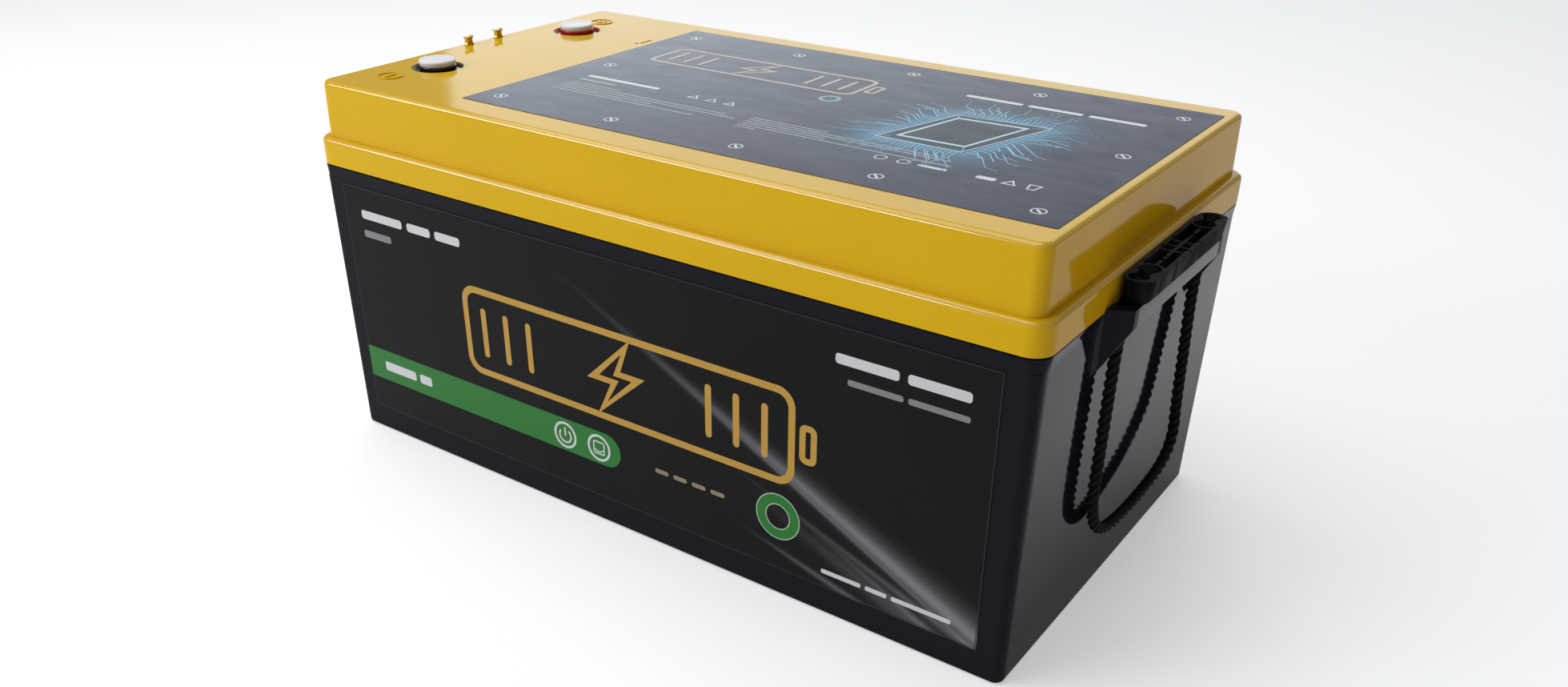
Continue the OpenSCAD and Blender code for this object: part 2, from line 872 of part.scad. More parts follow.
case_tub();
lid();
lid_seal();
top_label();
front_label();
terminal(true);  // terminal_negative
terminal(false);  // terminal_positive
collar(true);  // collar_negative
collar(false);  // collar_positive
cap(true);  // cap_negative
cap(false);  // cap_positive
terminal_nuts();
grip(true);  // grip_right
grip(false);  // grip_left
rope(true);  // rope_right
rope(false);  // rope_left
rope_knots(true);  // rope_knots_right
rope_knots(false);  // rope_knots_left
cell_insulators();
row_divider();
end_plate(true);  // end_plate_left
end_plate(false);  // end_plate_right
cell_straps();
cell_links();
cell_nuts();
base_pad();
side_pad(true);  // side_pad_front
side_pad(false);  // side_pad_rear
end_foam_block();
bms_bracket();
bms_heat_sink();
bms_board();
bms_standoffs();
bms_screws();
bms_transistors();
bms_capacitors();
bms_connector();
bms_output_blocks();
cable(POSITIVE_ROUTE, [0.70, 0.07, 0.06]);  // cable_positive
cable(NEGATIVE_ROUTE, [0.06, 0.06, 0.06]);  // cable_negative
cable(PACK_ROUTE, [0.06, 0.06, 0.06]);  // cable_pack
cable_lugs();
sense_harness();
for (i = [0:15])
    cell(i);
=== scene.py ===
"""Looks of a deep cycle battery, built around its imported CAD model, in metres and in its frame."""
import json
import math

import bmesh
import bpy
from mathutils import Matrix, Vector


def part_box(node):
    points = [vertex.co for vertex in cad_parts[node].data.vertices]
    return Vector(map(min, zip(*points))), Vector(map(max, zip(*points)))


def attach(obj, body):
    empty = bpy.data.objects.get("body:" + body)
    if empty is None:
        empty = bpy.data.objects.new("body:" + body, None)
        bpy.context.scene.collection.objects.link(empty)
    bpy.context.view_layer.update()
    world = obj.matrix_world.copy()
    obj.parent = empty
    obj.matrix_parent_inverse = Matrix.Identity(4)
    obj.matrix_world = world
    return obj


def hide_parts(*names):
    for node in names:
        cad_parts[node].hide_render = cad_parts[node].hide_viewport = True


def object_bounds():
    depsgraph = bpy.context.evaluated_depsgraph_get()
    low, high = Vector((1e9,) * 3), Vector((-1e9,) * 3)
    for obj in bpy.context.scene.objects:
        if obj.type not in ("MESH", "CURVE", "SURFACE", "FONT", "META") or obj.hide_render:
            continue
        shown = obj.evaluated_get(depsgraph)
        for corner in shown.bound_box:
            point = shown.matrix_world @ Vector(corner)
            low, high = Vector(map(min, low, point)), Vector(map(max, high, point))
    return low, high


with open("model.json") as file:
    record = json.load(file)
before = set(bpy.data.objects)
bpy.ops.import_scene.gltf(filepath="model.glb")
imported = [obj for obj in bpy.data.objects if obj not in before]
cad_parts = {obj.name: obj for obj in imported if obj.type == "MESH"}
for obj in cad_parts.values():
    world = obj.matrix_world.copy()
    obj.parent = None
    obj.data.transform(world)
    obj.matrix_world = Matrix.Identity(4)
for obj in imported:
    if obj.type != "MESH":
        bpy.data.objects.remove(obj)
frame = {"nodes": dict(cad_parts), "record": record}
cad_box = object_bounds()
nodes = frame["nodes"]
MM = 0.001

# ---------------------------------------------------------------- camera

def make_camera():
    """The camera fitted to the photo's edges."""
    data = bpy.data.cameras.new("camera")
    camera = bpy.data.objects.new("camera", data)
    right = Vector((0.80686, 0.59074, -0.00107))
    up = Vector((-0.29355, 0.40251, 0.86707))
    back = Vector((0.51265, -0.69929, 0.49818))
    turn = Matrix((right, up, back)).transposed().to_4x4()
    camera.matrix_world = Matrix.Translation((0.47023, -0.66886, 0.46427)) @ turn
    data.sensor_width = 36
    data.lens = 29.80
    data.shift_x = 0.0298
    data.shift_y = 0.0692
    data.clip_start = 0.01
    bpy.context.collection.objects.link(camera)
    bpy.context.scene.camera = camera


# ---------------------------------------------------------------- shader building

class Shader:
    """Builds one node material. A value may be a number, a colour or another node's socket."""

    def __init__(self, name):
        self.material = bpy.data.materials.new(name)
        self.material.use_nodes = True
        self.tree = self.material.node_tree
        self.tree.nodes.clear()
        self.coord = self.new("ShaderNodeTexCoord").outputs["Object"]

    def new(self, kind, **props):
        node = self.tree.nodes.new(kind)
        for key, value in props.items():
            setattr(node, key, value)
        return node

    def put(self, socket, value):
        if isinstance(value, bpy.types.NodeSocket):
            self.tree.links.new(value, socket)
        elif socket.type == "RGBA" and len(value) == 3:
            socket.default_value = (*value, 1)
        else:
            socket.default_value = value

    def math(self, operation, a, b=0.0, c=0.0, clamp=False):
        node = self.new("ShaderNodeMath", operation=operation, use_clamp=clamp)
        for socket, value in zip(node.inputs, (a, b, c)):
            self.put(socket, value)
        return node.outputs[0]

    def add(self, a, b):
        return self.math("ADD", a, b)

    def sub(self, a, b):
        return self.math("SUBTRACT", a, b)

    def mul(self, a, b, clamp=False):
        return self.math("MULTIPLY", a, b, clamp=clamp)

    def axes(self, coord=None):
        node = self.new("ShaderNodeSeparateXYZ")
        self.put(node.inputs[0], coord or self.coord)
        return node.outputs

    def vector(self, x, y, z):
        node = self.new("ShaderNodeCombineXYZ")
        for socket, value in zip(node.inputs, (x, y, z)):
            self.put(socket, value)
        return node.outputs[0]

    def stretched(self, scale, coord=None):
        node = self.new("ShaderNodeMapping")
        self.put(node.inputs["Vector"], coord or self.coord)
        self.put(node.inputs["Scale"], scale)
        return node.outputs[0]

    def noise(self, scale, detail=3.0, rough=0.5, coord=None, distortion=0.0):
        node = self.new("ShaderNodeTexNoise")
        self.put(node.inputs["Vector"], coord or self.coord)
        for name, value in (("Scale", scale), ("Detail", detail), ("Roughness", rough),
                            ("Distortion", distortion)):
            self.put(node.inputs[name], value)
        return node.outputs[0]

    def cells(self, scale, coord=None):
        node = self.new("ShaderNodeTexVoronoi", feature="F1")
        self.put(node.inputs["Vector"], coord or self.coord)
        self.put(node.inputs["Scale"], scale)
        return node.outputs["Distance"]

    def ramp(self, value, low, high, to_low=0.0, to_high=1.0, smooth=False):
        node = self.new("ShaderNodeMapRange", clamp=True)
        if smooth:
            node.interpolation_type = "SMOOTHSTEP"
        for name, item in (("Value", value), ("From Min", low), ("From Max", high),
                           ("To Min", to_low), ("To Max", to_high)):
            self.put(node.inputs[name], item)
        return node.outputs[0]

    def mix(self, factor, a, b):
        node = self.new("ShaderNodeMix", data_type="RGBA")
        self.put(node.inputs[0], factor)
        self.put(node.inputs[6], a)
        self.put(node.inputs[7], b)
        return node.outputs[2]

    def bump(self, height, depth, strength=1.0, normal=None):
        node = self.new("ShaderNodeBump")
        self.put(node.inputs["Strength"], strength)
        self.put(node.inputs["Distance"], depth)
        self.put(node.inputs["Height"], height)
        if normal is not None:
            self.put(node.inputs["Normal"], normal)
        return node.outputs[0]

    def facing(self):
        """Which way the surface faces, as x, y and z."""
        return self.axes(self.new("ShaderNodeNewGeometry").outputs["Normal"])

    def edges(self):
        """1 on convex edges, 0 on flat ground: used for worn edges, and in moulded plastic for a
        painted edge highlight.
        """
        point = self.new("ShaderNodeNewGeometry").outputs["Pointiness"]
        return self.ramp(point, 0.52, 0.62)

    def leaning(self):
        """1 on the round between a wall and a level top, 0 on either of them."""
        z = self.facing()[2]
        return self.mul(self.ramp(z, 0.10, 0.25), self.ramp(z, 0.98, 0.90))

    def surface(self, color, roughness, normal=None, dull=None, **more):
        """The finished material. dull, 0 to 1, takes that share of its shine away."""
        node = self.new("ShaderNodeBsdfPrincipled")
        self.put(node.inputs["Base Color"], color)
        self.put(node.inputs["Roughness"], roughness)
        if normal is not None:
            self.put(node.inputs["Normal"], normal)
        for name, value in more.items():
            self.put(node.inputs[name.replace("_", " ")], value)
        shader = node.outputs[0]
        if dull is not None:
            flat = self.new("ShaderNodeBsdfDiffuse")
            self.put(flat.inputs["Color"], color)
            mixed = self.new("ShaderNodeMixShader")
            self.put(mixed.inputs[0], dull)
            self.put(mixed.inputs[1], shader)
            self.put(mixed.inputs[2], flat.outputs[0])
            shader = mixed.outputs[0]
        out = self.new("ShaderNodeOutputMaterial")
        self.tree.links.new(shader, out.inputs["Surface"])
        return self.material


def moulded(name, color, rough, grain=0.00003, grain_scale=900, scuffs=0.25, matt=None,
            glint=None, ends=None, **more):
    """Injection-moulded plastic: fine grain, faint flow marks, a few rubbed patches, and a painted
    highlight: a paler tone on the rounded edges between walls and level tops.
    matt is (y, x, share): forward of y, and on the rope bosses outward of x, that share of the shine
    is rubbed off, and half of it low down. glint is the shine of the flats and of the rounded edges.
    ends is a painted shade: a darker, redder tone painted on the end walls, as shade."""
    s = Shader(name)
    flow = s.noise(9, 4, 0.55, distortion=0.6)
    fine = s.noise(grain_scale, 2, 0.6)
    rub = s.ramp(s.noise(38, 6, 0.7, s.stretched((1, 1, 2.4))), 0.56, 0.78)
    # pale is the tone of the rubbed patches (wear) and of the painted edge highlight
    pale = [min(1, c * 1.25 + (0.006 if max(color) > 0.1 else 0.004)) for c in color]
    dim = [c * 0.90 for c in color]
    tone = s.mix(flow, dim, color)
    # Painted highlight: rounded edges that lean between a wall and a level top are mixed towards the
    # paler tone
    tone = s.mix(s.mul(s.mul(s.edges(), s.leaning()), 0.35), tone, pale)
    tone = s.mix(s.mul(rub, scuffs * 0.25), tone, pale)
    # Painted shade: walls that face the ends are mixed towards the darker, redder ends tone,
    # standing in for the dimmer light there
    if ends:
        end_shade_facing = s.math("ABSOLUTE", s.facing()[0])
        tone = s.mix(s.ramp(end_shade_facing, 0.7, 0.98, 0.0, 0.5), tone, ends)
    roughness = s.add(s.ramp(flow, 0.3, 0.7, rough * 0.85, rough * 1.15), s.mul(rub, scuffs * 0.3))
    normal = s.bump(fine, grain)
    normal = s.bump(flow, 0.0006, 0.25, normal)
    if glint:
        more["Specular_IOR_Level"] = s.ramp(s.leaning(), 0.0, 1.0, *glint)
    dull = None
    if matt:
        x, y, z = s.axes()
        front_y, boss_x, share = matt
        front = s.ramp(y, front_y, front_y + 0.003, share, 0.0)
        outer = s.ramp(s.math("ABSOLUTE", x), boss_x, boss_x + 0.0008, 0.0, share)
        boss = s.mul(outer, s.ramp(s.math("ABSOLUTE", y), 0.0600, 0.0625))
        low_down = s.ramp(z, 0.03, 0.135, 0.5, 0.0)
        dull = s.math("MAXIMUM", s.math("MAXIMUM", front, boss), low_down)
    return s.surface(tone, roughness, normal, dull, **more)


def grip_plastic(name):
    """Dull black plastic with handling marks: soft smears that run down its walls, rubbed edges, a
    painted highlight on faces that turn upwards and painted shade in its pits and recesses.
    """
    s = Shader(name)
    x, y, z = s.axes()
    slanted = s.vector(x, s.add(y, s.mul(z, 0.35)), s.mul(z, 0.22))
    smear = s.ramp(s.noise(150, 5, 0.62, slanted), 0.42, 0.66)
    wipe = s.mul(smear, s.ramp(s.noise(30, 3, 0.5), 0.38, 0.6))
    wipe = s.mul(wipe, s.ramp(y, -0.052, -0.036, 0.15, 1.0))
    # Painted highlight: faces that turn upwards get a lighter tone, as if lit from above
    top = s.ramp(s.facing()[2], 0.6, 0.95)
    # Painted shade: an ambient occlusion node darkens the tone towards near-black in pits and
    # recesses
    recess_shade = s.new("ShaderNodeAmbientOcclusion")
    recess_shade.inputs["Distance"].default_value = 0.006
    unshaded_share = s.ramp(recess_shade.outputs["AO"], 0.2, 0.6)
    tone = s.mix(wipe, (0.004, 0.004, 0.005), (0.085, 0.087, 0.093))
    tone = s.mix(s.mul(s.edges(), 0.6), tone, (0.030, 0.035, 0.035))
    tone = s.mix(s.mul(top, 0.7), tone, (0.038, 0.044, 0.045))
    tone = s.mix(unshaded_share, (0.002, 0.002, 0.0025), tone)
    rough = s.ramp(wipe, 0.0, 1.0, 0.50, 0.62)
    return s.surface(tone, rough, s.bump(s.noise(1200, 3, 0.6), 0.00006),
                     s.ramp(wipe, 0.0, 1.0, 0.75, 0.3), Specular_IOR_Level=0.10)


def metal(name, color, rough, lines=(900, 30, 30), depth=0.00002, metallic=1.0):
    """Machined or rolled metal: fine lines one way, tarnish in patches, bright edges."""
    s = Shader(name)
    brushed = s.noise(1, 4, 0.6, s.stretched(lines))
    tarnish = s.noise(60, 5, 0.65)
    dark = [c * 0.62 for c in color]
    bright = [min(1, c * 1.2) for c in color]
    tone = s.mix(s.ramp(tarnish, 0.35, 0.7), dark, color)
    tone = s.mix(s.mul(s.edges(), 0.6), tone, bright)
    roughness = s.ramp(s.add(brushed, tarnish), 0.6, 1.4, rough * 0.7, rough * 1.4)
    return s.surface(tone, roughness, s.bump(brushed, depth), Metallic=metallic)


def foam(name):
    """Charcoal foam with open pores."""
    s = Shader(name)
    pores = s.cells(900)
    big = s.noise(40, 4, 0.6)
    tone = s.mix(s.ramp(pores, 0.0, 0.5), (0.016, 0.016, 0.018), (0.05, 0.05, 0.053))
    tone = s.mix(s.mul(big, 0.4), tone, (0.07, 0.07, 0.075))
    return s.surface(tone, 0.95, s.bump(pores, 0.0006))


def cable_skin(name, color):
    """Soft cable sheath with a fine grain and finger smears."""
    s = Shader(name)
    grain = s.noise(700, 3, 0.6)
    smear = s.noise(30, 4, 0.6)
    tone = s.mix(s.mul(smear, 0.5), color, [min(1, c * 1.5 + 0.02) for c in color])
    return s.surface(tone, s.ramp(smear, 0.3, 0.7, 0.38, 0.55), s.bump(grain, 0.00005))


def sheet_stuff(name, color):
    """Pressed insulation sheet with fibres that run one way."""
    s = Shader(name)
    fibre = s.noise(1, 5, 0.7, s.stretched((900, 160, 160)))
    cloud = s.noise(25, 4, 0.6)
    tone = s.mix(s.mul(fibre, 0.5), color, [c * 0.75 for c in color])
    tone = s.mix(s.mul(cloud, 0.3), tone, [min(1, c * 1.15) for c in color])
    return s.surface(tone, 0.75, s.bump(fibre, 0.00008))


def board_green(name):
    """Solder mask with copper tracks showing through as raised, lighter lines, and vias."""
    s = Shader(name)
    x, y, z = s.axes()
    cell = s.new("ShaderNodeTexVoronoi", feature="DISTANCE_TO_EDGE", distance="CHEBYCHEV")
    s.put(cell.inputs["Vector"], s.vector(0.0, y, z))
    s.put(cell.inputs["Scale"], 130)
    track = s.ramp(cell.outputs["Distance"], 0.03, 0.06, 1.0, 0.0)
    via = s.ramp(s.cells(330, s.vector(0.0, y, z)), 0.10, 0.14, 1.0, 0.0)
    tone = s.mix(s.mul(track, 0.7), (0.008, 0.075, 0.03), (0.03, 0.22, 0.09))
    tone = s.mix(s.mul(via, 0.5), tone, (0.55, 0.52, 0.40))
    return s.surface(tone, 0.3, s.bump(track, 0.00004))


def rope_fibre(name):
    """Twisted cord: fine yarns that run along each strand. u goes round a strand, v along it."""
    s = Shader(name)
    uv = s.new("ShaderNodeUVMap").outputs[0]
    yarn = s.new("ShaderNodeTexWave", wave_type="BANDS", bands_direction="DIAGONAL")
    s.put(yarn.inputs["Vector"], s.stretched((9.0, 520.0, 1.0), uv))
    s.put(yarn.inputs["Scale"], 1.0)
    s.put(yarn.inputs["Distortion"], 1.2)
    fluff = s.noise(2600, 4, 0.7)
    dust = s.noise(90, 4, 0.6)
    height = s.add(s.mul(yarn.outputs[1], 0.7), s.mul(fluff, 0.5))
    tone = s.mix(s.ramp(height, 0.2, 1.0), (0.002, 0.002, 0.0024), (0.010, 0.010, 0.011))
    tone = s.mix(s.mul(s.ramp(dust, 0.5, 0.8), 0.15), tone, (0.025, 0.025, 0.025))
    return s.surface(tone, 0.7, s.bump(height, 0.00022), Specular_IOR_Level=0.12,
                     Sheen_Weight=0.04, Sheen_Roughness=0.5)


CHIP_AT = (0.1415, -0.002)  # middle of the chip picture on the top label


def top_print(name):
    """Satin film: a woven-looking matte grain, cloudy tone, a blue glow round the chip picture."""
    s = Shader(name)
    x, y, z = s.axes()
    slant = s.sub(s.sub(x, CHIP_AT[0]), s.mul(s.sub(y, CHIP_AT[1]), 0.276))
    far_x = s.math("MAXIMUM", s.sub(s.math("ABSOLUTE", slant), 0.0275), 0.0)
    far_y = s.math("MAXIMUM", s.sub(s.math("ABSOLUTE", s.add(y, 0.0015)), 0.0345), 0.0)
    far = s.math("SQRT", s.add(s.mul(far_x, far_x), s.mul(far_y, far_y)))
    inside = s.math("LESS_THAN", far, 0.00001)
    ragged = s.ramp(s.noise(70, 4, 0.7), 0.3, 0.75, 0.55, 1.35)
    glow = s.math("EXPONENT", s.math("DIVIDE", s.mul(far, -1.0), s.mul(ragged, 0.0105)))
    cloud = s.noise(14, 5, 0.6, distortion=0.8)
    grain = s.noise(1, 3, 0.7, s.stretched((1500, 420, 800)))
    tone = s.mix(cloud, (0.016, 0.020, 0.048), (0.034, 0.039, 0.078))
    tone = s.mix(s.mul(grain, 0.45), tone, (0.070, 0.077, 0.118))
    tone = s.mix(s.mul(s.sub(glow, inside), 0.85, clamp=True), tone, (0.10, 0.33, 0.52))
    tone = s.mix(inside, tone, s.mix(s.noise(45, 4, 0.6), (0.004, 0.008, 0.018),
                                     (0.020, 0.036, 0.060)))
    rough = s.ramp(s.add(cloud, s.mul(grain, 0.6)), 0.4, 1.1, 0.13, 0.22)
    normal = s.bump(grain, 0.000012)
    normal = s.bump(s.noise(22, 2, 0.5), 0.0006, 0.3, normal)
    wiped = s.noise(1, 4, 0.65, s.stretched((26, 60, 20)), 0.5)
    spots = s.mul(s.sub(s.add(s.mul(grain, 0.5), wiped), 0.75), 0.42)
    dull = s.add(s.ramp(x, -0.14, 0.24, 0.10, 0.52), spots)
    return s.surface(tone, rough, normal, dull, Specular_IOR_Level=0.17)


def front_print(name):
    """Black film with pale light streaks that widen towards its lower right corner."""
    s = Shader(name)
    x, y, z = s.axes()
    total = 0.0
    streaks = (
        # start x, z, slope down in degrees, length, half width at start and at end, brightness
        (-0.075, 0.181, 26.0, 0.355, 0.0010, 0.0054, 0.50),
        (-0.030, 0.160, 25.0, 0.300, 0.0012, 0.0085, 0.15),
        (0.060, 0.086, 20.5, 0.200, 0.0009, 0.0028, 0.26),
        (0.075, 0.075, 23.5, 0.185, 0.0022, 0.0085, 0.20),
        (0.075, 0.043, 15.0, 0.090, 0.0008, 0.0022, 0.26),
        (0.115, 0.066, 25.5, 0.140, 0.0011, 0.0026, 0.28),
        (0.020, 0.134, 27.5, 0.150, 0.0006, 0.0012, 0.18),
    )
    for x0, z0, slope, length, w0, w1, bright in streaks:
        c, n = math.cos(math.radians(slope)), math.sin(math.radians(slope))
        dx, dz = s.sub(x, x0), s.sub(z, z0)
        along = s.sub(s.mul(dx, c), s.mul(dz, n))
        across = s.add(s.mul(dx, n), s.mul(dz, c))
        width = s.ramp(along, 0.0, length, w0, w1)
        ratio = s.math("DIVIDE", across, width)
        beam = s.math("EXPONENT", s.mul(s.mul(ratio, ratio), -1.0))
        rise = s.ramp(along, 0.0, length * 0.95, smooth=True)
        total = s.add(total, s.mul(s.mul(beam, rise), bright))
    cloud = s.noise(11, 4, 0.6)
    grain = s.noise(1400, 2, 0.6)
    tone = s.mix(cloud, (0.0055, 0.0055, 0.0060), (0.0095, 0.0096, 0.0100))
    tone = s.mix(s.ramp(total, 0.0, 1.0), tone, (0.36, 0.36, 0.39))
    normal = s.bump(s.noise(16, 3, 0.5), 0.0007, 0.3, s.bump(grain, 0.00002))
    return s.surface(tone, s.ramp(cloud, 0.3, 0.7, 0.26, 0.36), normal, 0.4,
                     Specular_IOR_Level=0.15)


def ink(name, color, rough=0.4, fade=None, **more):
    """Printed ink with a faint screen grain. fade is (x, y, start, end): round that point the ink
    thins out from one distance to the other."""
    s = Shader(name)
    grain = s.noise(1800, 2, 0.6)
    cloud = s.noise(45, 4, 0.6)
    tone = s.mix(s.mul(grain, 0.35), color, [c * 0.72 for c in color])
    tone = s.mix(s.mul(cloud, 0.25), tone, [min(1, c * 1.12) for c in color])
    if fade:
        x, y, z = s.axes()
        at_x, at_y, start, end = fade
        dx, dy = s.sub(x, at_x), s.sub(y, at_y)
        far = s.math("SQRT", s.add(s.mul(dx, dx), s.mul(dy, dy)))
        tone = s.mix(s.ramp(far, start, end), tone, (0.04, 0.055, 0.075))
    shine = {"Specular_IOR_Level": 0.2, **more}
    return s.surface(tone, rough, s.bump(grain, 0.000008), **shine)


BLACK_PP = (0.0085, 0.0088, 0.0125)
YELLOW = (0.78, 0.470, 0.004)
materials = {
    "case_black": moulded("case_black", BLACK_PP, 0.055, grain=0.000004, scuffs=0.2,
                          matt=(-0.135, 0.2634, 0.65), Specular_IOR_Level=0.27,
                          Specular_Tint=(0.82, 0.86, 1.0, 1.0)),
    # The lid's ends tone is a painted shade on its end walls
    "lid_yellow": moulded("lid_yellow", YELLOW, 0.075, grain=0.000004, scuffs=0.1,
                          glint=(0.11, 1.0), ends=(0.62, 0.30, 0.008)),
    "seal_rubber": moulded("seal_rubber", (0.018, 0.018, 0.018), 0.6, grain=0.00008),
    "top_print": top_print("top_print"),
    "front_print": front_print("front_print"),
    "terminal_brass": metal("terminal_brass", (0.72, 0.55, 0.24), 0.24, (40, 40, 1400)),
    "collar_black": moulded("collar_black", (0.008, 0.008, 0.008), 0.05, grain=0.000003,
                            Specular_IOR_Level=0.9),
    "collar_red": moulded("collar_red", (0.40, 0.008, 0.008), 0.05, grain=0.000003,
                          Specular_IOR_Level=0.9),
    "cap_white": moulded("cap_white", (0.88, 0.88, 0.90), 0.38, scuffs=0.35, Subsurface_Weight=0.15,
                         Subsurface_Scale=0.002),
    "steel": metal("steel", (0.58, 0.59, 0.62), 0.32, (30, 30, 900)),
    "grip_black": grip_plastic("grip_black"),
    "rope_black": rope_fibre("rope_black"),
    "cell_film": moulded("cell_film", (0.02, 0.13, 0.42), 0.28, grain=0.00004, scuffs=0.3),
    "insulator_sheet": sheet_stuff("insulator_sheet", (0.66, 0.58, 0.36)),
    "plate_aluminium": metal("plate_aluminium", (0.62, 0.63, 0.65), 0.34, (30, 900, 30)),
    "link_copper": metal("link_copper", (0.80, 0.42, 0.24), 0.28, (900, 40, 40)),
    "foam": foam("foam"),
    "heat_sink_aluminium": metal("heat_sink_aluminium", (0.55, 0.57, 0.60), 0.38, (30, 30, 1200)),
    "board_green": board_green("board_green"),
    "component_black": moulded("component_black", (0.012, 0.012, 0.013), 0.5, grain=0.00006),
    "capacitor_blue": moulded("capacitor_blue", (0.02, 0.04, 0.18), 0.25),
    "connector_white": moulded("connector_white", (0.68, 0.67, 0.62), 0.42),
    "cable_red": cable_skin("cable_red", (0.42, 0.012, 0.010)),
    "cable_black": cable_skin("cable_black", (0.012, 0.012, 0.012)),
    "lug_tinned": metal("lug_tinned", (0.66, 0.66, 0.64), 0.30, (700, 40, 40)),
}


# ---------------------------------------------------------------- mesh building

SHARP_DEG = 35  # edges that turn more than this stay sharp, and are the ones that are rounded


def new_piece(name, bm, body, slot, smooth_angle=SHARP_DEG, material=None):
    """Turns a bmesh into a piece with a material, smooth faces and sharp edges above an angle."""
    bmesh.ops.recalc_face_normals(bm, faces=bm.faces[:])
    for face in bm.faces:
        face.smooth = True
    limit = math.radians(smooth_angle)
    for edge in bm.edges:
        edge.smooth = not (edge.is_manifold and edge.calc_face_angle(0) > limit)
    mesh = bpy.data.meshes.new(name)
    bm.to_mesh(mesh)
    bm.free()
    piece = bpy.data.objects.new(name, mesh)
    bpy.context.collection.objects.link(piece)
    mesh.materials.append(material or materials[slot])
    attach(piece, body)
    return piece


def refined(node, body, bevel, segments=2, raised=None):
    """A copy of a CAD node with moulded, rounded edges, shown in the node's place. raised is
    (height, rise): a level face at that height over the node's foot is moved up."""
    bm = bmesh.new()
    bm.from_mesh(nodes[node].data)
    bmesh.ops.remove_doubles(bm, verts=bm.verts[:], dist=0.000002)
    bmesh.ops.dissolve_limit(
        bm, angle_limit=math.radians(0.6), verts=bm.verts[:], edges=bm.edges[:])
    if raised:
        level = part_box(node)[0][2] + raised[0]
        for vert in bm.verts:
            if abs(vert.co.z - level) < 0.0001:
                vert.co.z += raised[1]
    piece = new_piece(node + "_detail", bm, body, slots[node])
    edge = piece.modifiers.new("edges", "BEVEL")
    edge.width = bevel
    edge.segments = segments
    edge.limit_method = "ANGLE"
    edge.angle_limit = math.radians(SHARP_DEG)
    edge.use_clamp_overlap = True
    piece.modifiers.new("normals", "WEIGHTED_NORMAL").keep_sharp = True
    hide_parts(node)


slots = {item["node"]: item["material_slot"] for item in frame["record"]["subparts"]}

# ---------------------------------------------------------------- ropes

ROPE_ROUTE = [
    (271.2, -55.0, 207), (270.8, -55.6, 203), (270.4, -56.4, 198), (269.4, -57.6, 191),
    (268.2, -58.8, 183), (267.6, -59.2, 174), (267.5, -59.3, 162), (267.5, -59.3, 148),
    (267.5, -59.3, 134), (267.5, -59.3, 120), (267.5, -59.3, 106), (267.5, -59.3, 93),
    (267.5, -58.6, 82), (267.8, -56.2, 72), (268.3, -51.8, 63), (268.9, -45.0, 56.5),
    (269.5, -36, 53), (270.1, -26, 51.6), (270.8, -14, 51.4), (271.4, -2, 52),
    (272, 10, 53.4), (272.6, 22, 55.4), (273.1, 33, 58.2), (273.4, 43, 62.4),
    (273.2, 51, 68.6), (272.4, 56.2, 76.8), (271.0, 58.6, 87), (270.2, 59.1, 98),
    (269.6, 59.3, 110), (269.1, 59.3, 123), (268.5, 59.3, 137), (267.9, 59.3, 151),
    (267.5, 59.3, 165), (267.7, 59.1, 176), (268.4, 58.6, 185), (269.5, 57.5, 192),
    (270.4, 56.4, 198), (270.8, 55.6, 203), (271.2, 55.0, 207),
]
ROPE_D = 0.007
NECK_D = 0.0058
KNOT_R = 0.0044


def rope_size(point):
    """The rope is squeezed a little where it goes up into the grip."""
    return 1 + (NECK_D / ROPE_D - 1) * min(1, max(0, (point.z - 0.176) / 0.010))


def even_path(points, step):
    """Points a step apart on a smooth curve through the given ones."""
    fine = []
    for i in range(len(points) - 1):
        p0 = points[max(i - 1, 0)]
        p1, p2 = points[i], points[i + 1]
        p3 = points[min(i + 2, len(points) - 1)]
        for k in range(24):
            t = k / 24
            fine.append(0.5 * ((2 * p1) + (p2 - p0) * t + (2 * p0 - 5 * p1 + 4 * p2 - p3) * t * t
                               + (3 * p1 - p0 - 3 * p2 + p3) * t ** 3))
    fine.append(points[-1])
    length = [0.0]
    for a, b in zip(fine, fine[1:]):
        length.append(length[-1] + (b - a).length)
    count = round(length[-1] / step)
    out, j = [], 0
    for k in range(count + 1):
        want = length[-1] * k / count
        while j < len(fine) - 2 and length[j + 1] < want:
            j += 1
        share = (want - length[j]) / (length[j + 1] - length[j])
        out.append(fine[j].lerp(fine[j + 1], min(1, share)))
    return out, length[-1]


def strand_radius(angle, radius):
    """Outline of three strands laid together, angle measured from a strand's crest."""
    a = (angle + math.pi / 3) % (2 * math.pi / 3) - math.pi / 3
    return radius * (0.45 * math.cos(a) + math.sqrt(0.55 ** 2 - (0.45 * math.sin(a)) ** 2))


def twisted_tube(name, path, radius, pitch, around, body, slot, radii=None):
    """Three-strand rope along a path, closed at both ends."""
    bm = bmesh.new()
    uv = bm.loops.layers.uv.new("strands")
    side = Vector((1, 0, 0))
    rings, travelled, total = [], [], 0.0
    for i, point in enumerate(path):
        ahead = (path[min(i + 1, len(path) - 1)] - path[max(i - 1, 0)]).normalized()
        side = (side - ahead * side.dot(ahead)).normalized()
        other = ahead.cross(side)
        if i:
            total += (point - path[i - 1]).length
        travelled.append(total)
        ring = []
        for k in range(around):
            a = 2 * math.pi * k / around
            size = radii[i] if radii else 1.0
            r = strand_radius(a - 2 * math.pi * total / pitch, radius * size)
            ring.append(bm.verts.new(point + side * (r * math.cos(a)) + other * (r * math.sin(a))))
        rings.append(ring)
    for i in range(len(rings) - 1):
        for k in range(around):
            n = (k + 1) % around
            face = bm.faces.new((rings[i][k], rings[i][n], rings[i + 1][n], rings[i + 1][k]))
            for loop, (kk, ii) in zip(face.loops, ((k, i), (k + 1, i), (k + 1, i + 1), (k, i + 1))):
                turn = kk / around - travelled[ii] / pitch
                loop[uv].uv = (turn * 3, travelled[ii])
    bm.faces.new(rings[0][::-1])
    bm.faces.new(rings[-1])
    return new_piece(name, bm, body, slot, smooth_angle=75)


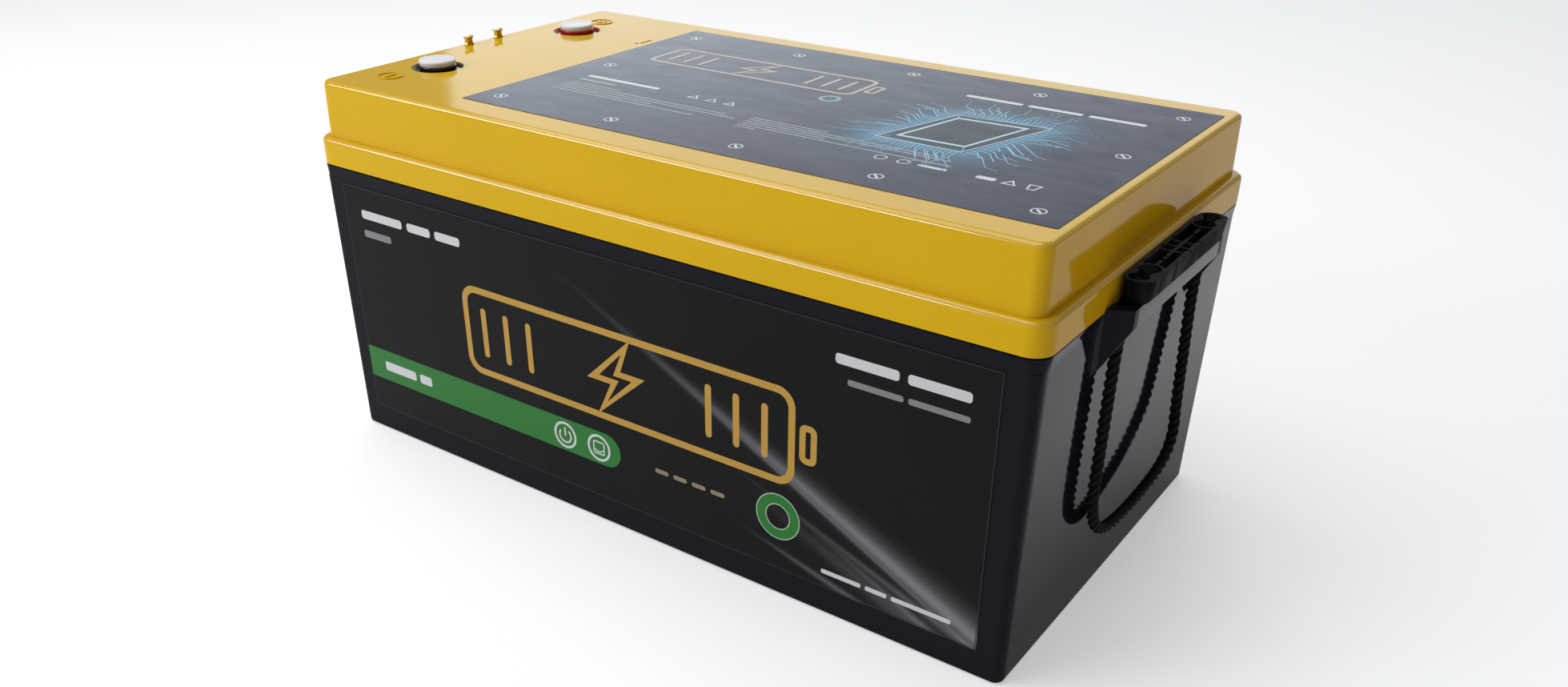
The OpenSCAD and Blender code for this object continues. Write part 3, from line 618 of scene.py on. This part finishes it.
def make_handle(side):
    """One handle's rope with its two knots. The left one mirrors the right one's route."""
    sign = 1 if side == "right" else -1
    body = "handle_" + side
    points = [Vector((sign * x, y, z)) * MM for x, y, z in ROPE_ROUTE]
    path, length = even_path(points, 0.0006)
    rope = twisted_tube("cord_" + side, path, ROPE_D / 2, 0.0172 * sign, 36, body, "rope_black",
                        [rope_size(point) for point in path])
    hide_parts("rope_" + side)
    low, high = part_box("rope_knots_" + side)
    mid = (Vector(low) + Vector(high)) / 2
    reach = (high[1] - low[1]) / 2 - KNOT_R
    for k in (-1, 1):
        centre = Vector((mid.x, mid.y + k * reach, mid.z))
        name = f"knot_{side}_{'front' if k < 0 else 'rear'}"
        make_knot_piece(name, centre, body, k)
    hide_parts("rope_knots_" + side)


def make_knot_piece(name, centre, body, turn):
    """A tight stopper knot: the cord's end winds 2.6 times round itself as it rises 4.2 mm."""
    count = 150
    path = []
    for i in range(count + 1):
        t = i / count
        a = 2 * math.pi * 2.6 * t + turn
        wide = 1.9 + 0.5 * math.sin(2 * math.pi * 3 * t)
        rise = -2.1 + 4.2 * t
        path.append(centre + Vector((wide * math.cos(a), wide * math.sin(a), rise)) * MM)
    return twisted_tube(name, path, 0.00185, 0.007, 24, body, "rope_black")


make_camera()
make_handle("right")
make_handle("left")

# ---------------------------------------------------------------- case, lid, grips

refined("case_tub", "case", 0.0006, 3)
refined("lid", "case", 0.0004, 2)
for side in ("right", "left"):
    refined("grip_" + side, "handle_" + side, 0.0004, 2)


def lathe(node, body, slot, centre, outline, around=96):
    """A turned piece in a CAD node's place: outline is a closed list of (radius, height)."""
    bm = bmesh.new()
    rings = []
    for r, h in outline:
        if r < 1e-9:
            rings.append([bm.verts.new((centre[0], centre[1], h))])
            continue
        rings.append([bm.verts.new((
            centre[0] + r * math.cos(2 * math.pi * k / around),
            centre[1] + r * math.sin(2 * math.pi * k / around), h)) for k in range(around)])
    pairs = list(zip(rings, rings[1:]))
    if len(rings[0]) > 1 or len(rings[-1]) > 1:
        pairs.append((rings[-1], rings[0]))
    for a, b in pairs:
        for k in range(around):
            n = (k + 1) % around
            corner = [a[k % len(a)], a[n % len(a)], b[n % len(b)], b[k % len(b)]]
            unique = list(dict.fromkeys(corner))
            if len(unique) > 2:
                bm.faces.new(unique)
    piece = new_piece(node + "_detail", bm, body, slot)
    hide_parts(node)


def arc(r, h, radius, start, end, count=6):
    """Points of a rounded edge, centre (r, h), from one angle to another in degrees."""
    return [(r + radius * math.cos(math.radians(start + (end - start) * k / count)),
             h + radius * math.sin(math.radians(start + (end - start) * k / count)))
            for k in range(count + 1)]


def make_cap(which):
    """The push-in cap: a dished disc with a rounded rim, and the ring that locates it below."""
    low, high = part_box("cap_" + which)
    x, y = (low[0] + high[0]) / 2, (low[1] + high[1]) / 2
    r = (high[0] - low[0]) / 2
    top, foot = high[2], high[2] - 0.0038
    outline = [(0, foot), (0.0054, foot), (0.0054, low[2] + 0.0002), (0.0056, low[2]),
               (0.0075, low[2]), (0.0078, low[2] + 0.0003), (0.0078, foot),
               (r - 0.0012, foot)]
    outline += arc(r - 0.0012, foot + 0.0006, 0.0006, -90, -10)
    outline += arc(r - 0.0013, top - 0.0013, 0.0013, 0, 90, 8)
    outline += [(r - 0.0030, top - 0.00002), (r - 0.0036, top - 0.00022),
                (0.0030, top - 0.00030), (0.0012, top - 0.00034), (0, top - 0.00034)]
    lathe("cap_" + which, which + "_cap", "cap_white", (x, y), outline)


make_cap("negative")
make_cap("positive")
for which in ("negative", "positive"):
    refined("collar_" + which, "case", 0.0004, 3, raised=(0.003, 0.0031))

# ---------------------------------------------------------------- prints

TOP_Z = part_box("top_label")[1][2]
FRONT_LOW, FRONT_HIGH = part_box("front_label")


def on_top(u, v, lift):
    """Point on the top label at x = u, y = v."""
    return Vector((u * MM, v * MM, TOP_Z + lift))


def on_front(u, v, lift):
    """Point on the leaning front label at x = u, z = v."""
    low_y, high_y = FRONT_HIGH[1], FRONT_LOW[1]
    share = (v * MM - FRONT_LOW[2]) / (FRONT_HIGH[2] - FRONT_LOW[2])
    lean = (high_y + 0.0003 - low_y) * share
    return Vector((u * MM, low_y - 0.0003 + lean - lift, v * MM))


def round_box(x0, y0, x1, y1, r, steps=8):
    """Outline of a box with round corners."""
    points = []
    for cx, cy, a0 in ((x1 - r, y1 - r, 0), (x0 + r, y1 - r, 90),
                       (x0 + r, y0 + r, 180), (x1 - r, y0 + r, 270)):
        points += arc(cx, cy, r, a0, a0 + 90, steps)
    return points


class Print:
    """Flat inked shapes on a sheet, in the sheet's own millimetres, built as one thin piece."""

    def __init__(self, name, place, material, slot, lift):
        self.name, self.place, self.material, self.slot = name, place, material, slot
        self.lift, self.thick = lift, 0.00004
        self.bm = bmesh.new()

    def face(self, outline):
        low = [self.bm.verts.new(self.place(u, v, self.lift - self.thick / 2)) for u, v in outline]
        high = [self.bm.verts.new(self.place(u, v, self.lift + self.thick)) for u, v in outline]
        self.bm.faces.new(high)
        self.bm.faces.new(low[::-1])
        for k in range(len(low)):
            n = (k + 1) % len(low)
            self.bm.faces.new((low[k], low[n], high[n], high[k]))

    def bar(self, x0, y0, x1, y1, r):
        self.face(round_box(x0, y0, x1, y1, r, 6))

    def loop(self, outer, inner):
        """A closed band between two outlines with the same number of points."""
        layers = []
        for shape in (outer, inner):
            for height in (self.lift + self.thick, self.lift - self.thick / 2):
                layers.append([self.bm.verts.new(self.place(u, v, height)) for u, v in shape])
        oh, ol, ih, il = layers
        for k in range(len(outer)):
            n = (k + 1) % len(outer)
            self.bm.faces.new((oh[k], oh[n], ih[n], ih[k]))
            self.bm.faces.new((ol[k], ol[n], oh[n], oh[k]))
            self.bm.faces.new((ih[k], ih[n], il[n], il[k]))
            self.bm.faces.new((il[k], il[n], ol[n], ol[k]))

    def ring(self, cx, cy, r, width, around=48):
        circle = [(math.cos(2 * math.pi * k / around), math.sin(2 * math.pi * k / around))
                  for k in range(around)]
        self.loop([(cx + r * c, cy + r * s) for c, s in circle],
                  [(cx + (r - width) * c, cy + (r - width) * s) for c, s in circle])

    def line(self, points, width, closed=False):
        """A stroke through the points with mitred corners."""
        pts = [Vector(p) for p in points]
        count = len(pts)
        left, right = [], []
        for i, p in enumerate(pts):
            before = pts[(i - 1) % count] if closed or i else None
            after = pts[(i + 1) % count] if closed or i < count - 1 else None
            d0 = (p - before).normalized() if before is not None else (after - p).normalized()
            d1 = (after - p).normalized() if after is not None else d0
            mid = (d0 + d1).normalized()
            normal = Vector((-mid.y, mid.x))
            reach = width / 2 / max(0.3, mid.dot(d1))
            left.append(tuple(p + normal * reach))
            right.append(tuple(p - normal * reach))
        if closed:
            self.loop(left, right)
        else:
            self.face(left + right[::-1])

    def done(self):
        new_piece(self.name, self.bm, "case", self.slot, material=self.material)


white_ink = ink("white_ink", (0.66, 0.66, 0.68))
grey_ink = ink("grey_ink", (0.24, 0.24, 0.25))
gold_ink = ink("gold_ink", (0.54, 0.31, 0.055), 0.35)
dull_gold_ink = ink("dull_gold_ink", (0.30, 0.22, 0.15), 0.4)
green_ink = ink("green_ink", (0.022, 0.19, 0.030), 0.38)
pale_green_ink = ink("pale_green_ink", (0.42, 0.56, 0.42), 0.4)
FILM = {"rough": 0.17, "Specular_IOR_Level": 0.15}
top_white_ink = ink("top_white_ink", (0.66, 0.67, 0.70), **FILM)
top_grey_ink = ink("top_grey_ink", (0.27, 0.28, 0.31), **FILM)
top_gold_ink = ink("top_gold_ink", (0.42, 0.33, 0.25), **FILM)
top_green_ink = ink("top_green_ink", (0.13, 0.35, 0.30), **FILM)
cyan_ink = ink("cyan_ink", (0.30, 0.72, 1.0), fade=(*CHIP_AT, 0.046, 0.085), **FILM)
frame_ink = ink("frame_ink", (0.46, 0.66, 0.76), **FILM)


LOW_LIFT = 0.00002  # an ink's height over its sheet, in metres
MID_LIFT = 0.00005
HIGH_LIFT = 0.00007


def front(name, material, lift=LOW_LIFT):
    return Print(name, on_front, material, "front_print", lift)


def top(name, material, lift=LOW_LIFT):
    return Print(name, on_top, material, "top_print", lift)


# A thin border line where the black film ends
border = front("front_border", ink("border_ink", (0.030, 0.030, 0.032), 0.5))
border.line([(-244.2, 19.4), (243.5, 19.4), (243.5, 186.6), (-244.2, 186.6)], 0.5, closed=True)
border.done()

stripe = front("green_stripe", green_ink)
outline = [(-244.6, 43.4), (-19.2, 43.4)]
outline += [(-19.2 + 12.1 * math.sin(math.radians(a)), 55.3 - 11.9 * math.cos(math.radians(a)))
            for a in range(10, 180, 10)]
outline += [(-19.2, 67.2), (-244.6, 67.2)]
stripe.face(outline)
stripe.done()

icons = front("stripe_icons", white_ink, HIGH_LIFT)
for cx in (-54.1, -25.2):
    icons.ring(cx, 55.0, 9.6, 1.7)
# Power sign: an open ring with an upright bar
icons.line([(-54.1 + 4.9 * math.sin(math.radians(a)), 54.6 + 4.9 * math.cos(math.radians(a)))
            for a in range(38, 323, 15)], 1.3)
icons.line([(-54.1, 54.4), (-54.1, 60.6)], 1.3)
# Rounded square with a down arrow
square = [(4.3, 3.6), (3.6, 4.3), (-3.6, 4.3), (-4.3, 3.6), (-4.3, -3.6), (-3.6, -4.3),
          (3.6, -4.3), (4.3, -3.6)]
icons.line([(-25.2 + u, 55.0 + v) for u, v in square], 1.0, closed=True)
icons.line([(-28.4, 54.0), (-27.2, 52.4), (-23.2, 52.4), (-22.0, 54.0)], 0.9)
icons.bar(-228, 51.6, -196, 58.6, 1.6)
icons.bar(-192, 51.6, -180, 58.6, 1.6)
icons.done()

heads = front("front_headings", white_ink)
for x0, x1 in ((-228.6, -189), (-184, -162), (-157.5, -134.5), (148.5, 187), (192, 228.4)):
    heads.bar(x0, 165.4, x1, 171.4, 2.0)
heads.bar(143.8, 28.6, 170.5, 31.6, 1.0)
heads.bar(173.5, 28.6, 187.5, 31.6, 1.0)
heads.bar(190.5, 28.6, 228, 31.6, 1.0)
heads.done()
subs = front("front_subheadings", grey_ink)
subs.bar(-228.6, 152.4, -202, 157.4, 1.6)
subs.bar(156.5, 154.2, 190.0, 157.8, 1.2)
subs.bar(193.0, 154.2, 228.4, 157.8, 1.2)
subs.done()

# The big gold picture: a battery outline with charge bars and a bolt
gold = front("gold_battery_picture", gold_ink)
gold.loop(round_box(-138, 78, 124, 141, 12), round_box(-133.4, 82.6, 119.4, 136.4, 8))
gold.loop(round_box(127, 97, 138.5, 122, 4.5), round_box(131, 101, 134.5, 118, 1.2))
for k in range(3):
    gold.bar(-122 + 20 * k, 92, -117.4 + 20 * k, 127, 2.3)
    gold.bar(61 + 20 * k, 92, 65.6 + 20 * k, 127, 2.3)
gold.line([(1.5, 133), (-26, 106.5), (-8.5, 106.5), (-19.5, 86), (10.5, 113), (-6.5, 113)],
          4.0, closed=True)
gold.done()
dashes = front("gold_dashes", dull_gold_ink)
for k in range(4):
    dashes.bar(21 + 14.3 * k, 53.4, 31.5 + 14.3 * k, 56.4, 1.4)
dashes.done()

# Green ring with a pale outline beside the stripe
halo = front("ring_halo", pale_green_ink)
halo.ring(113, 55.4, 15.4, 7.4, 64)
halo.done()
green_ring = front("green_ring", green_ink, HIGH_LIFT)
green_ring.ring(113, 55.4, 14.7, 6.0, 64)
green_ring.done()

# Top label: rings with a bar, greeked lines, chip picture and its tracks
rings = top("printed_rings", top_white_ink)
spots = [(x, y) for x in (-130, -39, 52, 142, 233) for y in (-99.5, 99.5)]
for cx, cy in spots + [(-128, 2), (232.5, 8)]:
    rings.ring(cx, cy, 4.3, 0.9, 40)
    rings.line([(cx - 2.0, cy + 2.3), (cx + 2.0, cy - 2.3)], 1.5)
rings.done()

words = top("top_headings", top_white_ink)
for x0, x1 in ((105, 143), (147, 182), (186, 221)):
    words.bar(x0, 70, x1, 74.5, 1.5)
words.bar(-119.5, -30.5, -60.5, -26.5, 1.2)
for k in range(3):
    cx = -30.5 + 14 * k
    words.line([(cx - 3.4, -33), (cx + 3.4, -33), (cx, -27.2)], 1.0, closed=True)
for cx in (127, 141):
    words.ring(cx, -69.5, 3.8, 0.9, 32)
words.bar(150, -71.2, 167, -68.2, 1.0)
words.bar(184, -71.4, 195, -66.6, 1.4)
words.line([(199.5, -71.5), (206.5, -71.5), (203, -65.2)], 1.1, closed=True)
words.line([(212.5, -65.2), (219, -65.2), (217.6, -72.5), (213.9, -72.5)], 1.0, closed=True)
words.done()
small = top("top_small_lines", top_grey_ink)
small.bar(-119.5, -39.2, -89, -36.4, 0.8)
for k, x1 in enumerate((-77, 9, 19, -42, -6)):
    small.bar(-119.5, -47.2 - 4.4 * k, x1, -45.6 - 4.4 * k, 0.5)
for k, x1 in enumerate((79, 152, 162, 84, 166, 41)):
    small.bar(26.5, -47.8 - 3.9 * k, x1, -46.3 - 3.9 * k, 0.5)
small.done()

picture = top("top_battery_picture", top_gold_ink)
picture.loop(round_box(-118, 28, 46, 70, 8), round_box(-115, 31, 43, 67, 5.4))
picture.loop(round_box(48, 40, 56.5, 58, 3), round_box(50.6, 42.6, 53.9, 55.4, 0.9))
for k in range(3):
    picture.bar(-107 + 13 * k, 37, -104.2 + 13 * k, 61, 1.3)
    picture.bar(5 + 13 * k, 37, 7.8 + 13 * k, 61, 1.3)
picture.line([(-32, 65), (-50, 47), (-38.5, 47), (-46, 33), (-26, 51.5), (-37.5, 51.5)],
             2.6, closed=True)
picture.done()
badge = top("top_green_ring", top_green_ink)
badge.ring(40, 15.5, 7.2, 2.6, 48)
badge.done()

chip_outer = [(103.3, -36.7), (158.3, -36.7), (180, 35), (121.7, 30)]
chip_inner = [(113.3, -28.3), (155, -26.7), (168.3, 26.7), (125, 23.3)]


def inset(shape, share):
    """The shape scaled about its middle."""
    cx = sum(p[0] for p in shape) / len(shape)
    cy = sum(p[1] for p in shape) / len(shape)
    return [(cx + (x - cx) * share, cy + (y - cy) * share) for x, y in shape]


chip = top("chip_frame", frame_ink, MID_LIFT)
chip.loop(chip_outer, inset(chip_outer, 0.965))
chip.loop(inset(chip_inner, 1.03), inset(chip_inner, 0.93))
for corner, other in zip(inset(chip_outer, 0.93), inset(chip_inner, 1.06)):
    chip.line([corner, other], 0.5)
chip.done()

TRACKS_A_SIDE = 19
tracks = top("chip_tracks", cyan_ink, 0.00004)
state = 7


def chance():
    """Small repeatable random numbers, 0 to 1."""
    global state
    state = (state * 1103515245 + 12345) % 2147483648
    return state / 2147483648


for s0, s1 in zip(chip_outer, chip_outer[1:] + chip_outer[:1]):
    a, b = Vector(s0), Vector(s1)
    edge = (b - a).normalized()
    out = Vector((edge.y, -edge.x))
    for k in range(TRACKS_A_SIDE):
        share = (k + 0.7) / (TRACKS_A_SIDE + 0.4)
        start = a.lerp(b, share) + out * 1.5
        lean = (share - 0.5) * 2
        first = 3 + 10 * chance()
        second = 5 + 16 * chance() * (1.2 - abs(lean) * 0.4)
        knee = start + out * first
        turned = (out + edge * (0.9 if lean > 0 else -0.9) * (0.6 + 0.4 * abs(lean))).normalized()
        elbow = knee + turned * second
        end = elbow + out * (3 + 12 * chance())
        points = [tuple(start), tuple(knee), tuple(elbow)]
        if chance() > 0.35:
            points.append(tuple(end))
        tracks.line(points, 0.5)
        if chance() > 0.45:
            tracks.ring(points[-1][0], points[-1][1], 1.0, 0.45, 16)
tracks.done()

# ---------------------------------------------------------------- inner pieces

for node in ("terminal_negative", "terminal_positive"):
    refined(node, "case", 0.0003, 2)
for node, width in (
    ("end_plate_left", 0.0008), ("end_plate_right", 0.0008), ("cell_links", 0.0004),
    ("cell_nuts", 0.0004), ("terminal_nuts", 0.0005), ("cable_lugs", 0.0003),
    ("bms_transistors", 0.0003), ("bms_capacitors", 0.0008), ("bms_connector", 0.0008),
    ("bms_output_blocks", 0.0005), ("bms_heat_sink", 0.0003), ("bms_screws", 0.0005),
    ("bms_bracket", 0.0004), ("base_pad", 0.0008), ("side_pad_front", 0.0015),
    ("side_pad_rear", 0.0015), ("end_foam_block", 0.003),
):
    refined(node, "case", width, 2)
for i in range(1, 17):
    refined(f"cell_{i:02d}", "case", 0.0006, 2)

for name, piece in nodes.items():
    material = materials[slots[name]]
    if piece.material_slots:
        for place in piece.material_slots:
            place.material = material
    else:
        piece.data.materials.append(material)

# ---------------------------------------------------------------- floor and light

FLOOR_GLOW, FLOOR_GLOW_SEEN = 0.25, 0.42
WORLD_DIM, WORLD_BRIGHT = 0.28, 1.66


def make_floor():
    bm = bmesh.new()
    bmesh.ops.create_grid(bm, x_segments=8, y_segments=8, size=6)
    mesh = bpy.data.meshes.new("floor")
    bm.to_mesh(mesh)
    bm.free()
    floor = bpy.data.objects.new("floor", mesh)
    floor.location.z = cad_box[0][2] - 0.0002
    bpy.context.collection.objects.link(floor)
    s = Shader("floor")
    # The photo's ground is cut out to white, so the floor is whiter to look at than it shines
    seen = s.new("ShaderNodeLightPath").outputs["Is Camera Ray"]
    tone = s.mix(s.mul(s.noise(3, 3, 0.5), 0.3), (0.80, 0.80, 0.81), (0.86, 0.86, 0.86))
    mesh.materials.append(s.surface(
        tone, 0.7, s.bump(s.noise(300, 2), 0.0001), Emission_Color=(1, 1, 1, 1),
        Emission_Strength=s.ramp(seen, 0.0, 1.0, FLOOR_GLOW, FLOOR_GLOW_SEEN)))


def make_light(name, place, aim, width, height, watts):
    data = bpy.data.lights.new(name, "AREA")
    data.shape = "RECTANGLE"
    data.size, data.size_y = width, height
    data.energy = watts
    light = bpy.data.objects.new(name, data)
    light.location = place
    light.rotation_euler = (Vector(aim) - Vector(place)).to_track_quat("-Z", "Y").to_euler()
    bpy.context.collection.objects.link(light)


def make_world():
    world = bpy.data.worlds.new("studio")
    world.use_nodes = True
    tree = world.node_tree
    background = tree.nodes["Background"]

    def step(kind, **props):
        node = tree.nodes.new(kind)
        for key, value in props.items():
            setattr(node, key, value)
        return node

    # Dim even light, with a bright wall behind the battery that ends sharply on its left
    way = step("ShaderNodeTexCoord").outputs["Generated"]
    level = None
    for normal, low, high in (((0.6613, 0.7501, 0.0), -0.004, 0.004),
                              ((-0.9962, -0.0872, 0.0), -0.14, 0.0),
                              ((0.0, 0.0, -1.0), -0.75, -0.50)):
        side = step("ShaderNodeVectorMath", operation="DOT_PRODUCT")
        tree.links.new(way, side.inputs[0])
        side.inputs[1].default_value = normal
        part = step("ShaderNodeMapRange", clamp=True, interpolation_type="SMOOTHSTEP")
        tree.links.new(side.outputs["Value"], part.inputs["Value"])
        part.inputs["From Min"].default_value = low
        part.inputs["From Max"].default_value = high
        if level is None:
            level = part.outputs[0]
        else:
            both = step("ShaderNodeMath", operation="MULTIPLY")
            tree.links.new(level, both.inputs[0])
            tree.links.new(part.outputs[0], both.inputs[1])
            level = both.outputs[0]
    glow = step("ShaderNodeMapRange", clamp=True)
    tree.links.new(level, glow.inputs["Value"])
    glow.inputs["To Min"].default_value = WORLD_DIM
    glow.inputs["To Max"].default_value = WORLD_BRIGHT
    # The wall is a little cool, and the dim side to the right is warm
    right = step("ShaderNodeSeparateXYZ")
    tree.links.new(way, right.inputs[0])
    warmth = step("ShaderNodeMapRange", clamp=True)
    tree.links.new(right.outputs[0], warmth.inputs["Value"])
    warmth.inputs["From Min"].default_value = 0.0
    warmth.inputs["From Max"].default_value = 0.7
    tint = step("ShaderNodeMix", data_type="RGBA")
    tree.links.new(warmth.outputs[0], tint.inputs[0])
    tint.inputs[6].default_value = (0.90, 0.97, 1.03, 1)
    tint.inputs[7].default_value = (0.72, 0.65, 0.60, 1)
    tree.links.new(tint.outputs[2], background.inputs[0])
    tree.links.new(glow.outputs[0], background.inputs[1])
    bpy.context.scene.world = world


make_floor()
make_world()
make_light("overhead", (-0.6, -0.2, 2.1), (0, 0, 0.1), 2.0, 2.0, 19)
make_light("softbox", (-1.5, -0.9, 2.0), (0, 0, 0.2), 1.5, 0.8, 5)
make_light("window", (-1.26, -1.61, 1.06), (0, -0.14, 0.22), 1.5, 0.5, 16)
bpy.context.scene.view_settings.view_transform = "Standard"
